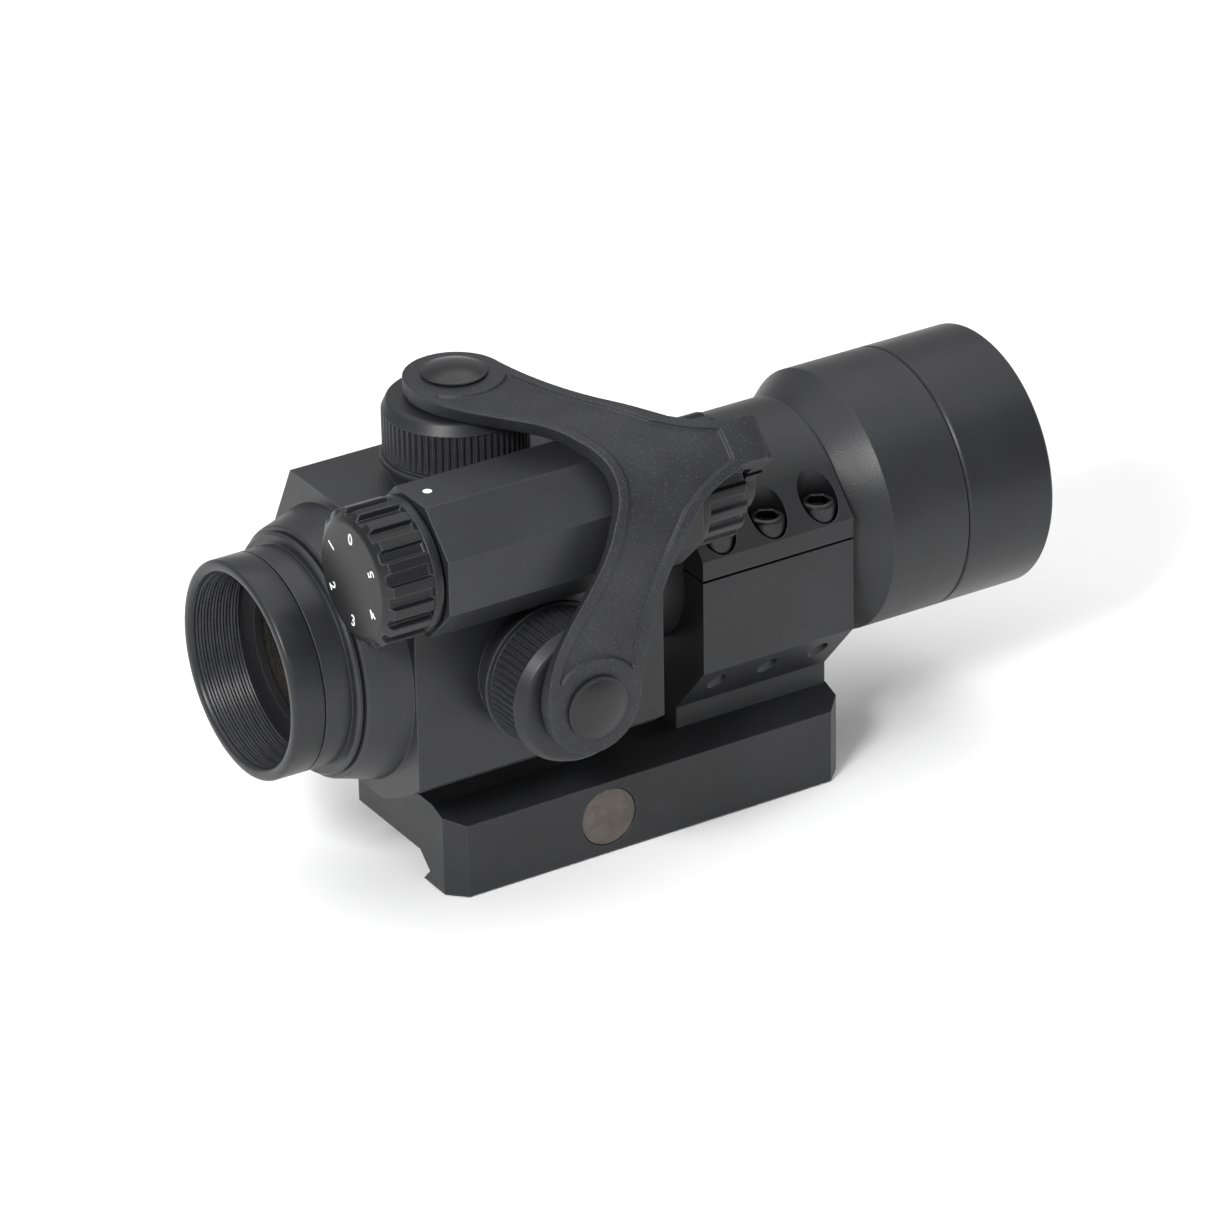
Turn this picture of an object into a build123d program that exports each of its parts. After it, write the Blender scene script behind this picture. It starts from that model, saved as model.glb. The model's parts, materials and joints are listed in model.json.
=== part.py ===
from build123d import *
import math
import os

os.makedirs("parts", exist_ok=True)

# Tube sight on a cantilever rail clamp. Millimetres, +Z up, +X the way the sight looks
# (objective in front), -Y the user's right. Origin: middle of the rail seat, on its flat.

# ---- driving dimensions -------------------------------------------------------------
AXIS_H = 39.0            # optical axis above the rail seat
RUN = 0.05               # radial running clearance of shafts and threads
SEAT_GAP = 0.1           # gap between stacked fixed pieces
SOFT_GAP = 0.3           # gap round rubber pieces

# rail clamp base
BASE_LEN = 79.0
BASE_RIGHT = 18.25       # right flank from the axis plane
BASE_LEFT = 13.0         # left flank from the axis plane
BASE_FLANK_TOP = 8.3     # top of the right flank
BASE_CHAMFER = 3.0       # vertical corner chamfers
BASE_DROP = 5.1          # claw below the seat
NECK_HALF = 12.0         # half width of the web between base and ring
NECK_BOTTOM = 10.6       # top face of the base beside the web
RAIL_HALF = 10.6         # half width of the rail across its corners
RAIL_CORNER_DROP = 2.8   # rail corners below the seat
SEAT_HALF = 7.5          # half width of the seat flat
CLAW_REACH = 8.5         # claw tip from the axis plane

# clamp across the rail
BOLT_X = -8.7
BOLT_Z = 1.7
BOLT_R = 2.5
BOLT_HEAD_R = 5.3
BOLT_HEAD_T = 3.2
JAW_LEN = 30.0
JAW_TOP = 5.0
JAW_THICK = 7.0
JAW_TRAVEL = 2.6
KNOB_R = 7.0
KNOB_LEN = 8.0
KNOB_FLUTES = 24
KNOB_FLUTE_DEPTH = 0.6

# ring round the tube
RING_FRONT = 39.3
RING_LEN = 30.3
RING_WALL = 5.0          # crown over the tube
RING_SIDE_WALL = 5.9     # flat sides beside the tube
RING_SPLIT_UP = 2.9      # joint face of the lower half above the axis
RING_SPLIT_GAP = 0.5
RING_CORNER_UP = 6.9     # top corners of the sides above the axis
RING_SIDE_DOWN = 14.2    # lower corners of the sides below the axis
NECK_TOP = 14.5          # where the ring's under-chamfer meets the web
SCREW_OUT = 2.2          # screw axes outside the tube wall
SCREW_PITCH = 10.3
SCREW_R = 1.6
SCREW_HEAD_R = 3.1
SCREW_HEAD_H = 3.2
SCREW_HEAD_ROOM = 0.4    # radial room round a screw head
SCREW_SOCKET_R = 2.0     # hexagon socket, to its corners
SCREW_SEAT_UP = 7.0      # under the heads, above the axis

# tube
TUBE_R = 15.0
TUBE_WALL = 1.5
BLOCK_BACK = -48.9
BLOCK_LEN = 47.7
BLOCK_RIGHT = 24.4
BLOCK_LEFT = 22.6
BLOCK_TOP = 25.3         # above the axis
BLOCK_BOTTOM = 24.2      # below the axis
COLLAR_LEN = 7.5
COLLAR_R_BACK = 21.7
COLLAR_R_FRONT = 23.8
STEP_LEN = 1.3
STEP_R = 20.75
NECK_LEN = 4.9
NECK_R = 18.9
EYE_RING_LEN = 5.9
EYE_RING_R = 18.9
EYE_BORE_R = 16.8
EYE_SEAT_R = 17.8        # bore for the eyepiece ring's spigot and window
EYE_SPIGOT = 4.0
RETAINER_T = 1.5
RETAINER_OPEN_R = 12.5
WINDOW_T = 2.5
FLARE_BACK_R = 18.4
FLARE_LEN = 6.8
BELL_R = 23.3
BELL_LEN = 15.6
BELL_BORE_R = 20.4
BELL_SEAT_R = 22.3
HOOD_LEN = 17.4
HOOD_BORE_R = 22.0
HOOD_SPIGOT = 4.3
HOOD_SPIGOT_BORE_R = 20.8
OBJECTIVE_T = 3.2

# battery and switch housing, an octagon beside the tube block
HOUSE_INNER = 13.8       # its inner flats from the optical axis, clear of the caps
HOUSE_FLATS = 23.4
HOUSE_OVERHANG = 0.6     # housing behind the block
HOUSE_BORE_R = 9.0
HOUSE_WALL = 4.0
DIAL_GAP = 0.6
DIAL_LEN = 10.6
DIAL_PROUD = 0.1         # dial radius beyond the housing flats
DIAL_CROWN = 1.9         # dial radius beyond its numbered face
DIAL_RIBS = 20
DIAL_RIB_DEPTH = 0.9
DIAL_REAR_RING = 1.8     # plain band at the dial's housing end
SHAFT_R = 3.0
BATTERY_R = 5.8
BATTERY_LEN = 10.8
CAP_GAP = 0.5
CAP_INSET = 0.9          # battery cap radius inside the housing flats
CAP_LEN = 9.4
CAP_SPIGOT = 6.0
CAP_FLUTES = 16
CAP_FLUTE_DEPTH = 0.9

# adjusters, alike on top and on the right; heights are from the optical axis
ADJ_X = -25.85
BOSS_R = 11.2
BOSS_TOP = 27.7
ADJ_NECK_R = 8.5
ADJ_NECK_DOWN = 1.4      # neck end below the cap roof
ADJ_CAP_GAP = 0.35
ADJ_RIM_R = 12.7
ADJ_RIM_LEN = 1.2
KNURL_R = 12.3
KNURL_DEPTH = 0.45
KNURL_COUNT = 60
SHOULDER_LEN = 2.4       # bevel above the knurl
KNURL_LAND = 0.35        # a ridge's share of the pitch
SHOULDER_R = 11.8
SHOULDER_UP = 2.3        # cap top above the housing top
ADJ_CAP_THICK = 3.9
ADJ_HEAD_R = 5.5
ADJ_HEAD_H = 2.4
ADJ_HEAD_DOWN = 2.6      # screw head base below the neck end
ADJ_SCREW_R = 3.0
PLUNGER_R = 1.5
PLUNGER_LEN = 9.0

# inner tube on its gimbal
INNER_WALL = 1.2
INNER_BACK = -34.0
INNER_FRONT = 36.0
PIVOT_X = 24.0
GIMBAL_GAP = 0.5         # between bore, gimbal ring and inner tube
GIMBAL_WALL = 1.5
GIMBAL_LEN = 6.0
GIMBAL_PIN_R = 0.9
LENS_T = 5.0

# rubber keeper strap
STRAP_T = 3.0
STRAP_EYE_GAP = 0.5      # between cap tops and strap eyes
STRAP_HOUSE_GAP = 1.7    # between the housing and the slanted middle
EYE_R = 8.6
EYE_HOLE_R = 3.8
END_EYE_R = 7.0
RIM_W = 1.9
RIM_H = 0.6
STUD_R = 3.4
STUD_HEAD_R = 5.6
STUD_HEAD_H = 1.3
END_STUD_HEAD_R = 4.4

# ---- worked out from the above ------------------------------------------------------
AXIS = Pos(0, 0, AXIS_H)
RING_R = TUBE_R + RING_WALL
RING_HALF_W = TUBE_R + RING_SIDE_WALL
RING_SPLIT_Z = AXIS_H + RING_SPLIT_UP
RING_CORNER_Z = AXIS_H + RING_CORNER_UP
RING_SIDE_BOTTOM = AXIS_H - RING_SIDE_DOWN
SCREW_Y = TUBE_R + SCREW_OUT
SCREW_SEAT_Z = AXIS_H + SCREW_SEAT_UP
BORE_R = TUBE_R - TUBE_WALL
GIMBAL_R_OUT = BORE_R - GIMBAL_GAP
GIMBAL_R_IN = GIMBAL_R_OUT - GIMBAL_WALL
INNER_R = GIMBAL_R_IN - GIMBAL_GAP
INNER_BORE_R = INNER_R - INNER_WALL
HOUSE_Y = -(HOUSE_INNER + HOUSE_FLATS / 2)
HOUSE_Z = AXIS_H - HOUSE_Y
DIAL_R = HOUSE_FLATS / 2 + DIAL_PROUD
DIAL_FACE_R = DIAL_R - DIAL_CROWN
CAP_R = HOUSE_FLATS / 2 - CAP_INSET
# adjuster and strap heights from the optical axis
SHOULDER_TOP = HOUSE_INNER + HOUSE_FLATS + SHOULDER_UP
KNURL_TOP = SHOULDER_TOP - SHOULDER_LEN
ADJ_CAP_ROOF = SHOULDER_TOP - ADJ_CAP_THICK
ADJ_NECK_TOP = ADJ_CAP_ROOF - ADJ_NECK_DOWN
ADJ_HEAD_BASE = ADJ_NECK_TOP - ADJ_HEAD_DOWN
STRAP_TOP = SHOULDER_TOP + STRAP_EYE_GAP + STRAP_T
STRAP_DIAG = HOUSE_FLATS / 2 + STRAP_HOUSE_GAP + STRAP_T
BASE_BACK = -BASE_LEN / 2
BASE_FRONT = BASE_LEN / 2
RING_BACK = RING_FRONT - RING_LEN
RING_MID = (RING_BACK + RING_FRONT) / 2
BLOCK_FRONT = BLOCK_BACK + BLOCK_LEN
COLLAR_BACK = BLOCK_BACK - COLLAR_LEN
STEP_BACK = COLLAR_BACK - STEP_LEN
NECK_BACK = STEP_BACK - NECK_LEN
EYE_BACK = NECK_BACK - EYE_RING_LEN
FLARE_BACK = RING_FRONT + SEAT_GAP
FLARE_FRONT = FLARE_BACK + FLARE_LEN
BELL_FRONT = FLARE_FRONT + BELL_LEN
HOOD_FRONT = BELL_FRONT + SEAT_GAP + HOOD_LEN
HOUSE_BACK = BLOCK_BACK - HOUSE_OVERHANG
HOUSE_FRONT = BLOCK_FRONT
DIAL_FRONT = HOUSE_BACK - DIAL_GAP
DIAL_BACK = DIAL_FRONT - DIAL_LEN
CAP_BACK = HOUSE_FRONT + CAP_GAP
CAP_FRONT = CAP_BACK + CAP_LEN
SPLIT_TOP_Z = RING_SPLIT_Z + RING_SPLIT_GAP

parts = {}


# ---- helpers ------------------------------------------------------------------------
def turned(outline):
    """Solid turned about +X from (along, radius) points."""
    return revolve(make_face(Polyline(*outline, close=True)), Axis.X, 360)


def tube(start, end, outer, inner=0.0):
    """Plain or bored cylinder along +X."""
    body = turned([(start, 0), (start, outer), (end, outer), (end, 0)])
    if inner:
        body -= turned([(start - 1, 0), (start - 1, inner), (end + 1, inner), (end + 1, 0)])
    return body


def toothed(start, end, outer, inner, count, land):
    """Prism along +X with straight flutes; land is the tooth's share of the pitch."""
    points = []
    pitch = 2 * math.pi / count
    for i in range(count):
        for r, share in ((inner, -0.5), (outer, -land / 2), (outer, land / 2)):
            a = pitch * (i + share)
            points.append((r * math.cos(a), r * math.sin(a)))
    face = make_face(Polyline(*points, close=True))
    return Pos(start, 0, 0) * Rot(0, 90, 0) * extrude(face, end - start)


def o_ring(along, mean_r, section_r):
    """Ring of round section about +X."""
    circle = Pos(along, mean_r, 0) * Circle(section_r)
    return revolve(circle, Axis.X, 360)


def section(points, start, end):
    """Prism along +X of (y, z) points."""
    plane = Plane(origin=(start, 0, 0), x_dir=(0, 1, 0), z_dir=(1, 0, 0))
    return extrude(plane * make_face(Polyline(*points, close=True)), end - start)


def block(x, y, z):
    """Box from (low, high) pairs."""
    size = Box(x[1] - x[0], y[1] - y[0], z[1] - z[0])
    return Pos((x[0] + x[1]) / 2, (y[0] + y[1]) / 2, (z[0] + z[1]) / 2) * size


def upright(x, y):
    """Frame whose +X points up through (x, y)."""
    return Pos(x, y, 0) * Rot(0, -90, 0)


HOUSE = Pos(0, HOUSE_Y, HOUSE_Z)
TOP_ADJUSTER = Pos(ADJ_X, 0, AXIS_H) * Rot(0, -90, 0)
RIGHT_ADJUSTER = Pos(ADJ_X, 0, AXIS_H) * Rot(0, 0, -90)
ACROSS = Pos(BOLT_X, 0, BOLT_Z) * Rot(0, 0, 90)


# ---- rail clamp base with the lower half of the ring --------------------------------
def mount_base():
    foot = section([
        (BASE_LEFT, 0), (BASE_LEFT, NECK_BOTTOM), (-NECK_HALF, NECK_BOTTOM),
        (-BASE_RIGHT, BASE_FLANK_TOP), (-BASE_RIGHT, -BASE_DROP), (-CLAW_REACH, -BASE_DROP),
        (-RAIL_HALF, -RAIL_CORNER_DROP), (-SEAT_HALF, 0),
    ], BASE_BACK, BASE_FRONT)
    corner = BASE_CHAMFER * math.sqrt(2)
    for x in (BASE_BACK, BASE_FRONT):
        cutter = Pos(x, -BASE_RIGHT, 0) * Rot(0, 0, 45) * Box(corner, corner, 60)
        foot -= cutter
    holder = section([
        (NECK_HALF, NECK_BOTTOM - 1), (NECK_HALF, NECK_TOP),
        (RING_HALF_W, RING_SIDE_BOTTOM), (RING_HALF_W, RING_SPLIT_Z),
        (-RING_HALF_W, RING_SPLIT_Z), (-RING_HALF_W, RING_SIDE_BOTTOM),
        (-NECK_HALF, NECK_TOP), (-NECK_HALF, NECK_BOTTOM - 1),
    ], RING_BACK, RING_FRONT)
    body = foot + holder
    body -= AXIS * tube(RING_BACK - 1, RING_FRONT + 1, TUBE_R + SEAT_GAP / 2)
    body -= screw_holes(SCREW_R + SEAT_GAP)
    body -= ACROSS * tube(-BASE_RIGHT - 1, BASE_LEFT + 1, BOLT_R + SEAT_GAP)
    body -= ACROSS * tube(-BASE_RIGHT - 1, -BASE_RIGHT + BOLT_HEAD_T + SEAT_GAP, BOLT_HEAD_R + SEAT_GAP)
    pocket = JAW_LEN / 2 + RUN
    body -= block((BOLT_X - pocket, BOLT_X + pocket), (SEAT_HALF, BASE_LEFT + 1), (-1, JAW_TOP + RUN))
    return body


def screw_places():
    return [
        (RING_MID + i * SCREW_PITCH, side * SCREW_Y)
        for side in (-1, 1)
        for i in (-1, 0, 1)
    ]


def screw_holes(radius):
    holes = [upright(x, y) * tube(10, SCREW_SEAT_Z + 1, radius) for x, y in screw_places()]
    return Compound(children=holes)


parts["mount_base"] = mount_base()


def ring_cap():
    corner = math.hypot(RING_HALF_W, RING_CORNER_Z - AXIS_H)
    slope = math.atan2(RING_CORNER_Z - AXIS_H, RING_HALF_W) + math.acos(min(1.0, RING_R / corner))
    touch = (RING_R * math.cos(slope), AXIS_H + RING_R * math.sin(slope))
    side = [(RING_HALF_W, SPLIT_TOP_Z), (RING_HALF_W, RING_CORNER_Z), touch]
    mirrored = [(-y, z) for y, z in reversed(side)]
    body = section(side + mirrored, RING_BACK, RING_FRONT)
    crown = AXIS * tube(RING_BACK, RING_FRONT, RING_R)
    crown &= block((RING_BACK, RING_FRONT), (-RING_R, RING_R), (RING_CORNER_Z, AXIS_H + RING_R + 1))
    body += crown
    body -= AXIS * tube(RING_BACK - 1, RING_FRONT + 1, TUBE_R + SEAT_GAP / 2)
    body -= screw_holes(SCREW_R + SEAT_GAP)
    for x, y in screw_places():
        body -= upright(x, y) * tube(SCREW_SEAT_Z, AXIS_H + RING_R + 1, SCREW_HEAD_R + SCREW_HEAD_ROOM)
    return body


parts["ring_cap"] = ring_cap()


def socket_screw():
    length = SCREW_SEAT_Z + SEAT_GAP - RING_SIDE_BOTTOM
    screw = tube(-length, 0, SCREW_R) + tube(0, SCREW_HEAD_H, SCREW_HEAD_R)
    socket = Rot(0, 90, 0) * extrude(RegularPolygon(SCREW_SOCKET_R, 6), SCREW_HEAD_H + 1)
    return screw - Pos(SCREW_HEAD_H * 0.4, 0, 0) * socket


def ring_screws():
    lifted = SCREW_SEAT_Z + SEAT_GAP
    return Compound(children=[
        Pos(x, y, lifted) * Rot(0, -90, 0) * socket_screw() for x, y in screw_places()
    ])


parts["ring_screws"] = ring_screws()

# ---- clamp: bolt, jaw and knob on the left -------------------------------------------
JAW_INNER = SEAT_HALF + SEAT_GAP
JAW_OUTER = BASE_LEFT + JAW_THICK - 3.0


def clamp_jaw():
    jaw = section([
        (JAW_INNER, SEAT_GAP), (JAW_INNER, JAW_TOP), (JAW_OUTER, JAW_TOP), (JAW_OUTER, -BASE_DROP),
        (CLAW_REACH, -BASE_DROP), (RAIL_HALF, -RAIL_CORNER_DROP),
    ], BOLT_X - JAW_LEN / 2, BOLT_X + JAW_LEN / 2)
    return jaw - ACROSS * tube(JAW_INNER - 2, JAW_OUTER + 1, BOLT_R + RUN)


parts["clamp_jaw"] = clamp_jaw()
KNOB_IN = JAW_OUTER + SEAT_GAP
BOLT_END = KNOB_IN + KNOB_LEN + JAW_TRAVEL


def cross_bolt():
    head = tube(-BASE_RIGHT, -BASE_RIGHT + BOLT_HEAD_T, BOLT_HEAD_R)
    return ACROSS * (head + tube(-BASE_RIGHT + 1, BOLT_END, BOLT_R))


def clamp_knob():
    grip = toothed(KNOB_IN, KNOB_IN + KNOB_LEN, KNOB_R, KNOB_R - KNOB_FLUTE_DEPTH, KNOB_FLUTES, 0.5)
    return ACROSS * (grip - tube(KNOB_IN - 1, KNOB_IN + KNOB_LEN + 1, BOLT_R + RUN))


parts["cross_bolt"] = cross_bolt()
parts["clamp_knob"] = clamp_knob()


# ---- tube body ----------------------------------------------------------------------
def across_flats(start, end, flats):
    corner = flats / 2 / math.cos(math.pi / 8)
    face = Rot(0, 0, 22.5) * RegularPolygon(corner, 8)
    return HOUSE * Pos(start, 0, 0) * Rot(0, 90, 0) * extrude(face, end - start)


def tube_body():
    cone = 0.35
    outline = turned([
        (NECK_BACK, 0), (NECK_BACK, NECK_R), (STEP_BACK, NECK_R),
        (STEP_BACK, STEP_R - cone), (STEP_BACK + cone, STEP_R), (COLLAR_BACK - cone, STEP_R),
        (COLLAR_BACK - cone / 2, STEP_R - 1), (COLLAR_BACK, STEP_R - 1),
        (COLLAR_BACK, COLLAR_R_BACK - cone), (COLLAR_BACK + cone, COLLAR_R_BACK),
        (BLOCK_BACK, COLLAR_R_FRONT), (BLOCK_BACK + 2, COLLAR_R_FRONT), (BLOCK_BACK + 2, TUBE_R),
        (FLARE_BACK, TUBE_R), (FLARE_BACK, FLARE_BACK_R), (FLARE_FRONT, BELL_R),
        (BELL_FRONT - cone, BELL_R), (BELL_FRONT, BELL_R - cone), (BELL_FRONT, 0),
    ])
    low = AXIS_H - BLOCK_BOTTOM
    high = AXIS_H + BLOCK_TOP
    core = section([
        (-BLOCK_RIGHT, low + 7), (-BLOCK_RIGHT + 3.1, low + 4.6), (-BLOCK_RIGHT + 8, low + 2.0),
        (-BLOCK_RIGHT + 12, low), (BLOCK_LEFT - 9, low), (BLOCK_LEFT, low + 9),
        (BLOCK_LEFT, high - 14), (BLOCK_LEFT - 7.2, high), (-BLOCK_RIGHT, high),
    ], BLOCK_BACK, BLOCK_FRONT)
    body = AXIS * outline + core + across_flats(HOUSE_BACK, HOUSE_FRONT, HOUSE_FLATS)
    for place in (TOP_ADJUSTER, RIGHT_ADJUSTER):
        body += place * (tube(BORE_R + 2, BOSS_TOP, BOSS_R) + tube(BORE_R + 2, ADJ_NECK_TOP, ADJ_NECK_R))
    body -= AXIS * turned([
        (NECK_BACK - 1, 0), (NECK_BACK - 1, EYE_SEAT_R), (EYE_STOP, EYE_SEAT_R),
        (EYE_STOP, BORE_R), (FLARE_BACK, BORE_R), (FLARE_FRONT, BELL_BORE_R),
        (BELL_STOP, BELL_BORE_R), (BELL_STOP, BELL_SEAT_R), (BELL_FRONT + 1, BELL_SEAT_R),
        (BELL_FRONT + 1, 0),
    ])
    for place in (TOP_ADJUSTER, RIGHT_ADJUSTER):
        body -= place * tube(INNER_R, ADJ_NECK_TOP, ADJ_SCREW_R + RUN)
        body -= place * tube(ADJ_HEAD_BASE - 1.5, ADJ_NECK_TOP + 1, ADJ_HEAD_R + 0.2)
    body -= HOUSE * tube(HOUSE_BACK + HOUSE_WALL, HOUSE_FRONT + 1, HOUSE_BORE_R)
    body -= HOUSE * tube(HOUSE_BACK - 1, HOUSE_BACK + HOUSE_WALL + 1, SHAFT_R + RUN)
    body -= HOUSE * Pos(0, DETENT_OFFSET, 0) * tube(HOUSE_BACK - 1, HOUSE_BACK + 3, DETENT_BALL_R + RUN)
    for side in (-1, 1):
        hole = tube(BORE_R - 1, TUBE_R + 1, GIMBAL_PIN_R + RUN / 2)
        body -= Pos(PIVOT_X, 0, AXIS_H) * Rot(0, 0, 90 * side) * hole
    return body


EYE_STOP = NECK_BACK + EYE_SPIGOT + RETAINER_T + WINDOW_T + 4 * SEAT_GAP
BELL_STOP = BELL_FRONT - HOOD_SPIGOT - OBJECTIVE_T - 3 * SEAT_GAP
DETENT_OFFSET = 6.5
DETENT_BALL_R = 1.2
parts["tube_body"] = tube_body()


# ---- eyepiece end ---------------------------------------------------------------------
def eyepiece_ring():
    rim = 0.8
    spigot_r = EYE_SEAT_R - SEAT_GAP
    front = NECK_BACK - SEAT_GAP
    return AXIS * turned([
        (EYE_BACK, EYE_BORE_R + 0.4), (EYE_BACK, EYE_RING_R - rim), (EYE_BACK + rim, EYE_RING_R),
        (front - 0.3, EYE_RING_R), (front, EYE_RING_R - 0.3), (front, spigot_r),
        (NECK_BACK + EYE_SPIGOT, spigot_r), (NECK_BACK + EYE_SPIGOT, EYE_BORE_R),
        (EYE_BACK + 0.6, EYE_BORE_R),
    ])


RETAINER_BACK = NECK_BACK + EYE_SPIGOT + SEAT_GAP
WINDOW_BACK = RETAINER_BACK + RETAINER_T + SEAT_GAP
LENS_EDGE = EYE_SEAT_R - SEAT_GAP
parts["eyepiece_ring"] = eyepiece_ring()
parts["eyepiece_retainer"] = AXIS * tube(
    RETAINER_BACK, RETAINER_BACK + RETAINER_T, LENS_EDGE, RETAINER_OPEN_R)
parts["eyepiece_window"] = AXIS * tube(WINDOW_BACK, WINDOW_BACK + WINDOW_T, LENS_EDGE)


# ---- objective end ----------------------------------------------------------------------
def objective_hood():
    back = BELL_FRONT + SEAT_GAP
    spigot_r = BELL_SEAT_R - SEAT_GAP
    step = 1.2
    return AXIS * turned([
        (BELL_FRONT - HOOD_SPIGOT, HOOD_SPIGOT_BORE_R), (BELL_FRONT - HOOD_SPIGOT, spigot_r),
        (back, spigot_r), (back, BELL_R - 0.35), (back + 0.35, BELL_R),
        (HOOD_FRONT - 0.4, BELL_R), (HOOD_FRONT, BELL_R - 0.4), (HOOD_FRONT, HOOD_BORE_R + 0.3),
        (HOOD_FRONT - 0.3, HOOD_BORE_R), (back + step, HOOD_BORE_R), (back + step, HOOD_SPIGOT_BORE_R),
    ])


OBJECTIVE_FRONT = BELL_FRONT - HOOD_SPIGOT - SEAT_GAP
parts["objective_hood"] = objective_hood()
parts["objective_window"] = AXIS * tube(
    OBJECTIVE_FRONT - OBJECTIVE_T, OBJECTIVE_FRONT, BELL_SEAT_R - SEAT_GAP)


# ---- inner tube on a gimbal, with lens and emitter ---------------------------------------
def inner_tube():
    body = AXIS * tube(INNER_BACK, INNER_FRONT, INNER_R, INNER_BORE_R)
    stop = INNER_FRONT - LENS_T - 2
    body += AXIS * tube(stop - 1.2, stop, INNER_R, INNER_BORE_R - 0.8)
    for turn in (-90, 90):
        body -= Pos(PIVOT_X, 0, AXIS_H) * Rot(0, turn, 0) * tube(INNER_BORE_R - 2, INNER_R + 1, GIMBAL_PIN_R)
    return body


def gimbal_ring():
    half = GIMBAL_LEN / 2
    body = AXIS * tube(PIVOT_X - half, PIVOT_X + half, GIMBAL_R_OUT, GIMBAL_R_IN)
    here = Pos(PIVOT_X, 0, AXIS_H)
    for turn in (Rot(0, 0, 90), Rot(0, 0, -90), Rot(0, 90, 0), Rot(0, -90, 0)):
        body -= here * turn * tube(GIMBAL_R_IN - 1, GIMBAL_R_OUT + 1, GIMBAL_PIN_R + RUN)
    return body


def gimbal_pins(turns, inner, outer):
    here = Pos(PIVOT_X, 0, AXIS_H)
    return Compound(children=[here * turn * tube(inner, outer, GIMBAL_PIN_R) for turn in turns])


parts["inner_tube"] = inner_tube()
parts["gimbal_ring"] = gimbal_ring()
parts["elevation_pivot_pins"] = gimbal_pins(
    (Rot(0, 0, 90), Rot(0, 0, -90)), GIMBAL_R_IN + 0.2, TUBE_R - SEAT_GAP)
parts["windage_pivot_pins"] = gimbal_pins(
    (Rot(0, 90, 0), Rot(0, -90, 0)), INNER_BORE_R + 0.1, GIMBAL_R_OUT - 0.2)


def collimating_lens():
    edge = INNER_BORE_R - 0.04
    bulge = 1.2
    ball_r = (edge ** 2 + bulge ** 2) / (2 * bulge)
    back = INNER_FRONT - LENS_T - 1
    ball = Pos(back - bulge + ball_r, 0, 0) * Sphere(ball_r)
    return AXIS * (tube(back - bulge, back + LENS_T - 1, edge) & ball)


def led_holder():
    shelf_z = (-INNER_BORE_R + 0.4, -INNER_BORE_R + 3)
    return AXIS * block((INNER_BACK + 2, INNER_BACK + 8), (-2.5, 2.5), shelf_z)


def led_emitter():
    return Pos(INNER_BACK + 8.1, 0, AXIS_H - INNER_BORE_R + 1.9) * tube(0, 2.2, 0.9)


parts["collimating_lens"] = collimating_lens()
parts["led_holder"] = led_holder()
parts["led_emitter"] = led_emitter()


# ---- adjusters, one routine for both ---------------------------------------------------
def adjuster_cap():
    base = BOSS_TOP + ADJ_CAP_GAP
    rim = base + ADJ_RIM_LEN
    shell = turned([
        (base, 0), (base, ADJ_RIM_R), (rim, ADJ_RIM_R), (rim + 0.2, KNURL_R - KNURL_DEPTH - 0.1),
        (KNURL_TOP, KNURL_R - KNURL_DEPTH - 0.1), (KNURL_TOP, KNURL_R),
        (SHOULDER_TOP - 0.5, SHOULDER_R), (SHOULDER_TOP, SHOULDER_R - 0.5), (SHOULDER_TOP, 0),
    ])
    shell += toothed(rim + 0.2, KNURL_TOP, KNURL_R, KNURL_R - KNURL_DEPTH, KNURL_COUNT, KNURL_LAND)
    shell -= tube(base - 1, ADJ_CAP_ROOF, ADJ_NECK_R + RUN)
    shell -= tube(base - 1, base + 1.6, ADJ_NECK_R + 1.7)
    return shell - tube(ADJ_CAP_ROOF - 1, SHOULDER_TOP + 1, STUD_R * 0.7)


def cap_stud(head_r):
    """Mushroom stud; 0 is the face it sits on, the strap eye lies under its head."""
    neck = STRAP_TOP - SHOULDER_TOP + 0.15
    dome = revolve(make_face(Polyline(
        (neck, 0), (neck, head_r - 0.4), (neck + 0.3, head_r), (neck + 0.6, head_r - 0.3),
        (neck + 1.0, head_r * 0.72), (neck + STUD_HEAD_H, head_r * 0.35), (neck + STUD_HEAD_H + 0.1, 0),
        close=True)), Axis.X, 360)
    return tube(SEAT_GAP / 2, neck + 0.1, STUD_R) + tube(-3.0, 0.2, STUD_R * 0.7) + dome


def adjuster_screw():
    head = tube(ADJ_HEAD_BASE, ADJ_HEAD_BASE + ADJ_HEAD_H, ADJ_HEAD_R)
    head -= block((ADJ_HEAD_BASE + 1.2, ADJ_HEAD_BASE + 4), (-6, 6), (-0.6, 0.6))
    shank = tube(INNER_R + 4, ADJ_HEAD_BASE + 0.5, ADJ_SCREW_R)
    return head + shank - tube(INNER_R, INNER_R + PLUNGER_LEN + 1.2, PLUNGER_R + RUN)


for name, place in (("elevation", TOP_ADJUSTER), ("windage", RIGHT_ADJUSTER)):
    parts[name + "_cap"] = place * adjuster_cap()
    parts[name + "_cap_stud"] = place * Pos(SHOULDER_TOP, 0, 0) * cap_stud(STUD_HEAD_R)
    parts[name + "_screw"] = place * adjuster_screw()
    parts[name + "_plunger"] = place * tube(INNER_R + 0.1, INNER_R + 0.1 + PLUNGER_LEN, PLUNGER_R)
    parts[name + "_seal"] = place * o_ring(BOSS_TOP + 1.1, ADJ_NECK_R + 0.85, 0.7)


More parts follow.
